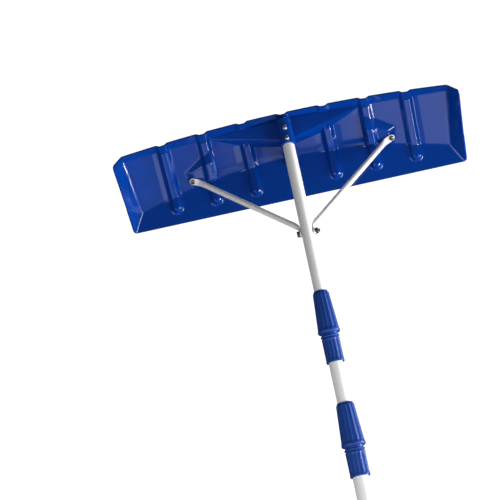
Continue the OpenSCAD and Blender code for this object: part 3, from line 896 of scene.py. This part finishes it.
def brace_fasteners():
    """On the blade: a screw, a washer and a nut at each pad."""
    out, seat = to_frame(PAD_OUT), place(PAD_SEAT)
    face = seat + (TAB_T + 2 * CLEARANCE) * out
    bolt = aim(pan_head(*BRACE_SCREW_HEAD), face, out)
    join(bolt, [aim(threaded(M6_R, 0, TAB_T + BOSS_BACK + 8.3), face, -out)])
    wear(both(bolt), "brace_screws", "head", SCREW, ["brace_bolts"])
    ring = aim(washer(WASHER_R, M6_R + CLEARANCE, WASHER_T), seat - (BOSS_BACK + CLEARANCE) * out, -out)
    wear(both(ring), "brace_rings", "head", STEEL, ["brace_washers"])
    nut_at = seat - (BOSS_BACK + WASHER_T + 2 * CLEARANCE) * out
    nut = aim(hex_piece(HEX_FLAT, NUT_T, M6_R + CLEARANCE), nut_at, -out)
    wear(both(nut), "brace_hex_nuts", "head", STEEL, ["brace_nuts"], 25)


def pole_fasteners():
    """Through the pole and both braces: a bolt, two washers and a nut."""
    x = TUBE_R[1] + TAB_T + 2 * CLEARANCE
    past = WASHER_T + 2 * CLEARANCE

    def at(dx):
        return (dx, 0, POLE_BOLT_Z)

    bolt = aim(threaded(M6_R, 0, 2 * (x + past) + 8), at(-x - past), (1, 0, 0))
    join(bolt, [aim(hex_piece(HEX_FLAT, HEAD_T), at(-x - past), (-1, 0, 0))])
    wear(bolt, "pole_through_bolt", "head", DARK, ["pole_bolt"], 25)
    rings = []
    for s in (-1, 1):
        rings.append(aim(washer(WASHER_R, M6_R + CLEARANCE, WASHER_T), at(s * (x + CLEARANCE)), (s, 0, 0)))
    wear(join(rings[0], rings[1:]), "pole_rings", "head", STEEL, ["pole_washers"])
    nut = aim(hex_piece(HEX_FLAT, NUT_T, M6_R + CLEARANCE), at(x + past), (1, 0, 0))
    wear(nut, "pole_hex_nut", "head", DARK, ["pole_nut"], 25)


def socket_fasteners():
    """Two screws that hold the pole in its sleeve."""
    screws = []
    for h in SCREW_HEIGHTS:
        seat = place((0, SOCKET_SCREW_SEAT, h))
        screws.append(aim(pan_head(*SOCKET_SCREW_HEAD), seat, (0, -1, 0)))
        screws.append(aim(threaded(M4_R, 0, 18, M4_PITCH), seat, (0, 1, 0)))
    wear(join(screws[0], screws[1:]), "socket_pan_screws", "head", STEEL, ["socket_screws"])


# ---- Clamps ----
BODY_LEN, NUT_LEN = 52, 75
NECK = 10.5           # height of the collar between a body's flutes and its nut
SPIGOT = 27           # the body's thread goes on by this much inside the nut
FLUTES = 14
POINTS_PER_FLUTE = 14
OWNER = {1: "section_2", 2: "section_3", 3: "handle"}  # the body that each clamp's outer part rides on


def scallops(depth, z0, z1, round_end):
    """Flutes cut between ridges: how much they take from the radius at an angle and height."""
    def cut(z, a):
        part = a * FLUTES / (2 * pi) % 1 - 0.5
        ridge = sqrt(part * part + 0.0025) - 0.05
        across = 1 - (1 - min(1, 2.1 * ridge)) ** 2
        arch = 1 - (2 * abs(abs(part) - 0.5)) ** 2
        foot = smooth((z - z0) / round_end + 0.6 * arch - 0.3)
        head = smooth((z1 - z) / round_end + 0.6 * arch - 0.3)
        return depth * across * (foot * head)
    return cut


def clamp_body(k):
    """The part of clamp k on its outer tube: flutes, a collar and the male thread's spigot."""
    tube = TUBE_R[k + 1]
    r, top = tube + 3.75, BODY_LEN - NECK
    inner, spigot, slip = tube + 0.05, tube + 2.6, TUBE_R[k] + 0.4
    outside = [(r - 0.7, 0), (r - 0.2, 0.3), (r, 0.9)]
    outside += [(r, z) for z in steps(1.6, top - 1.2, 34)]
    collar = [(-0.15, -0.4), (-0.6, 0.5), (-1.2, 1.2), (-1.2, 2.6), (-0.6, 3.1), (0.2, 3.5),
              (0.6, 4), (0.6, 4.9), (0.2, 5.4), (-0.7, 5.9), (-1.2, 6.3), (-1.2, 7.4)]
    outside += [(r + dr, top + dz) for dr, dz in collar]
    outside += [(spigot, top + 8.2), (spigot, BODY_LEN + SPIGOT), (tube + 2, BODY_LEN + SPIGOT),
                (slip + 0.5, BODY_LEN + 18), (slip, BODY_LEN + 17), (slip, 45.05), (inner, 45.05), (inner, 0)]
    cut = scallops(1.25, 3.6, top - 1.6, 1.8)

    def shape(rad, z, a):
        return rad - (cut(z, a) if rad > r - 0.1 and z < top else 0)

    body = lathe("body", outside, FLUTES * POINTS_PER_FLUTE, shape)
    body.data.transform(Matrix.Translation((0, 0, CLAMP_Z[k] * MM)))
    wear(body, f"clamp_sleeve_{k}", OWNER[k], CLAMP, [f"clamp_body_{k}"], 50)


def clamp_nut(k):
    """The nut of clamp k: a wide foot, a long fluted cone and a lip round the inner tube."""
    tube = TUBE_R[k + 1]
    wide, top = tube + 7.25, tube + 1.9
    inner, slip = tube + 2.95, TUBE_R[k] + 0.4
    lip = slip + 1.5
    outside = [(wide - 1.6, 0), (wide - 0.7, 0.35), (wide - 0.2, 1.2),
               (wide, 2.6), (wide, 4.2), (wide - 0.25, 5.6)]
    for part in steps(0, 1, 44):
        outside.append((mix(wide - 0.45, top + 0.45, part), mix(6.6, NUT_LEN - 4.8, part)))
    outside += [(top + 0.2, NUT_LEN - 4), (top - 0.35, NUT_LEN - 3.4), (mix(top, lip, 0.6), NUT_LEN - 3.1),
                (lip + 0.1, NUT_LEN - 2.9), (lip, NUT_LEN - 2.5), (lip, NUT_LEN - 0.6), (lip - 0.5, NUT_LEN),
                (slip, NUT_LEN), (slip, 48), (inner, 31), (inner, 0)]
    cut = scallops(1.35, 5.5, NUT_LEN + 9, 2.4)

    def shape(rad, z, a):
        return rad - (cut(z, a) if rad > lip + 0.3 and 4 < z < NUT_LEN - 3 else 0)

    nut = lathe("nut", outside, FLUTES * POINTS_PER_FLUTE, shape)
    nut.data.transform(Matrix.Translation((0, 0, NUT_Z[k] * MM)))
    wear(nut, f"clamp_ring_{k}", f"nut_{k}", CLAMP, [f"clamp_nut_{k}"], 50)


# ---- Grip ----
GRIP_BORE = TUBE_R[4] + 0.05
BUTT = 3.95                     # thickness of the foot under the handle tube
BULB_TOP, GUARD_LOW = 26, GRIP_TOP - 26
RIB_PITCH, RIB_DEPTH = 3.7, 0.7
BARREL_R = 17.1
GUARD_R, GUARD_OUT_R = 23, 29   # the saddle's upper and lower arcs


def grip_handle():
    """A bulb at the butt and a ribbed barrel that swells in the middle."""
    bulb = [(14.4, 0), (15.6, 0.15), (18.2, 1.1), (20, 2.8), (21.5, 5.2), (22.3, 8), (22.5, 11), (22.2, 14.5),
            (21, 18.5), (19.2, 21.6), (17.6, 24), (17, BULB_TOP + 0.5)]
    barrel = []
    z = BULB_TOP + 2.0
    while z < GUARD_LOW:
        k = (z - BULB_TOP) / (GUARD_LOW - BULB_TOP)
        r = BARREL_R + 1.7 * sin(pi * min(1, max(0, k))) ** 1.2
        barrel += [(r, z), (r, z + 2.2), (r - RIB_DEPTH, z + 2.7), (r - RIB_DEPTH, z + 3.2)]
        z += RIB_PITCH
    neck_z = GRIP_TOP - 19
    neck = [(17, z), (17, neck_z - 0.4), (16.4, neck_z), (GRIP_BORE, neck_z)]
    neck += [(GRIP_BORE, BUTT), (1, BUTT), (1, 0)]
    return lathe("grip", bulb + barrel + neck, 96)


def grip_guard():
    """A saddle round the top of the grip, with a horn on each side."""
    top, bottom, saddle = [], [], GRIP_TOP + 1
    for a in [radians(d) for d in range(-78, 79, 6)]:
        for line, r in ((top, GUARD_R), (bottom, GUARD_OUT_R)):
            x = min(GRIP_HALF - 0.2, r * abs(sin(a))) * (1 if a >= 0 else -1)
            half = sqrt(GRIP_HALF ** 2 - min(abs(x), GRIP_HALF - 1.5) ** 2)
            line.append([Vector((x, half * s, saddle - r * cos(a))) for s in steps(-1, 1, 16)])
    rings = [t + b[::-1] for t, b in zip(top, bottom)]
    guard = soften(outward(skin("guard", rings)), 1.6, 50, 3)
    passage = cylinder("passage", GRIP_BORE, GRIP_TOP - 60, GRIP_TOP + 9, 0.1, 96)
    return combine(guard, [passage], "DIFFERENCE")


def grip():
    handle = grip_handle()
    join(handle, [grip_guard()])
    wear(handle, "handle_grip", "handle", RUBBER, ["grip"], 38)


# ---- Finish on the nodes that keep their frame shape ----
def dress(node, material):
    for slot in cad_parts[node].material_slots:
        slot.material = material


def carried_over():
    for k in (1, 2, 3, 4):
        dress(f"tube_{k}", TUBE)
    for k in (1, 2, 3):
        dress(f"guide_{k}", INNER)
        dress(f"clamp_collet_{k}", INNER)
    dress("end_plug", INNER)


# ---- Studio ----
def area(name, at, towards, size, radiance, spread=180):
    """A soft light that the camera doesn't see, with its radiance on its axis.

    A spread under 180 degrees is a grid that keeps the light off what lies to its sides.
    """
    half = radians(spread / 2)
    gain = 1 if spread == 180 else tan(half) / (tan(half) - half)
    light = bpy.data.lights.new(name, "AREA")
    light.shape = "RECTANGLE"
    light.size, light.size_y = size
    light.energy = pi * size[0] * size[1] * radiance / gain
    light.spread = radians(spread)
    obj = bpy.data.objects.new(name, light)
    obj.location = at
    obj.rotation_euler = (Vector(towards) - Vector(at)).to_track_quat("-Z", "Y").to_euler()
    obj.visible_camera = False
    bpy.context.scene.collection.objects.link(obj)


def softbox(name, azimuth, elevation, distance, size, radiance, spread=180):
    """A light aimed at the blade from an azimuth, counted from +X, and an elevation."""
    head = Vector((0, 0, SOCKET_Z * MM))
    az, el = radians(azimuth), radians(elevation)
    at = head + distance * Vector((cos(az) * cos(el), sin(az) * cos(el), sin(el)))
    area(name, at, head, size, radiance, spread)


def haze_strip(x0, x1, radiance):
    """Part of the pale sheet low in front that the glossy panels mirror, from x0 to x1."""
    x = (x0 + x1) / 2
    forward, height, depth = -0.66, 0.3, 0.7
    area("haze", (x, forward, height), (x, forward, 2), (x1 - x0, depth), radiance)


def haze():
    """The whole sheet: bright on the left and dark on the right, with a stepped fade between."""
    left, fade_from, fade_to, right = -0.68, -0.08, 0.04, 0.6
    count = 6
    width = (fade_to - fade_from) / count
    haze_strip(left, fade_from, 1.45)
    for i in range(count):
        x = fade_from + width * i
        haze_strip(x, x + width, mix(1.30, 0.32, i / (count - 1)))
    haze_strip(fade_to, right, 0.22)


# Each: name, azimuth and elevation in degrees, distance, size, radiance and, for a gridded one, spread
SOFTBOXES = (
    ("key", -30, -42, 2.4, (1.3, 1.0), 12.8, 120),
    ("side", -4, -22, 2.6, (1.2, 0.9), 2.0, 100),
    ("edge_glint", 8, -11, 2.6, (0.12, 1.5), 250, 70),
    ("top", 30, 60, 2.6, (1.6, 1.4), 2.2),
    ("left_front", 215, -30, 2.6, (1.3, 1.0), 2.2),
    ("back", 75, 25, 3.2, (2.0, 1.6), 2.6, 120),
)
BACKDROP, AMBIENT = 1.1, 0.07   # how bright the world is to the camera, and as a light


def lights():
    for values in SOFTBOXES:
        softbox(*values)
    haze()
    mid_pole, size = (0, 0, 1.2), (0.8, 0.9)
    area("shaft_front", (-0.7, -1.5, 0.95), mid_pole, size, 9.0, 64)
    area("shaft_back", (0.9, 1.5, 0.95), mid_pole, size, 1.6)


def backdrop():
    """A white background for the camera that lights the rake only faintly."""
    world = bpy.data.worlds.new("studio")
    world.use_nodes = True
    nodes, links = world.node_tree.nodes, world.node_tree.links
    seen, ambient = nodes["Background"], nodes.new("ShaderNodeBackground")
    for node, strength in ((seen, BACKDROP), (ambient, AMBIENT)):
        node.inputs["Color"].default_value = (1, 1, 1, 1)
        node.inputs["Strength"].default_value = strength
    rays, either = nodes.new("ShaderNodeLightPath"), nodes.new("ShaderNodeMixShader")
    links.new(rays.outputs["Is Camera Ray"], either.inputs[0])
    links.new(ambient.outputs[0], either.inputs[1])
    links.new(seen.outputs[0], either.inputs[2])
    links.new(either.outputs[0], nodes["World Output"].inputs[0])
    bpy.context.scene.world = world


def floor():
    """A pale floor just under the butt, which the glossy parts don't mirror."""
    reach, z = 2200, -0.2
    corners = [(-reach, -reach, z), (reach, -reach, z), (reach, reach, z), (-reach, reach, z)]
    ground = make("floor", corners, [(0, 1, 2, 3)])
    ground.visible_glossy = False
    paint, _, _, shader = new_material("floor_paint", (0.8, 0.8, 0.8), 0.7)
    shader.inputs["Emission Color"].default_value = (1, 1, 1, 1)
    shader.inputs["Emission Strength"].default_value = 0.35
    ground.data.materials.append(paint)


def studio():
    bpy.context.scene.view_settings.view_transform = "Standard"
    backdrop()
    lights()
    floor()


EYE_AT, EYE_AIM = Vector((0.0155, -2.9, 1.083)), Vector((-0.1197, 0, 1.9431))
EYE_ROLL = -11.6                # degrees
LENS, SENSOR = 125.79, 36       # millimetres


def camera():
    """At the photograph's place: a long lens from below the blade, rolled so that the rake leans."""
    lens = bpy.data.cameras.new("camera")
    lens.lens = LENS
    lens.sensor_width = SENSOR
    lens.clip_end = 50
    eye = bpy.data.objects.new("camera", lens)
    turn = (EYE_AIM - EYE_AT).to_track_quat("-Z", "Y").to_matrix().to_4x4()
    eye.matrix_world = Matrix.Translation(EYE_AT) @ turn @ Matrix.Rotation(radians(EYE_ROLL), 4, "Z")
    bpy.context.scene.collection.objects.link(eye)
    bpy.context.scene.camera = eye


blade()
braces()
brace_fasteners()
pole_fasteners()
socket_fasteners()
for k in (1, 2, 3):
    clamp_body(k)
    clamp_nut(k)
grip()
carried_over()
studio()
camera()
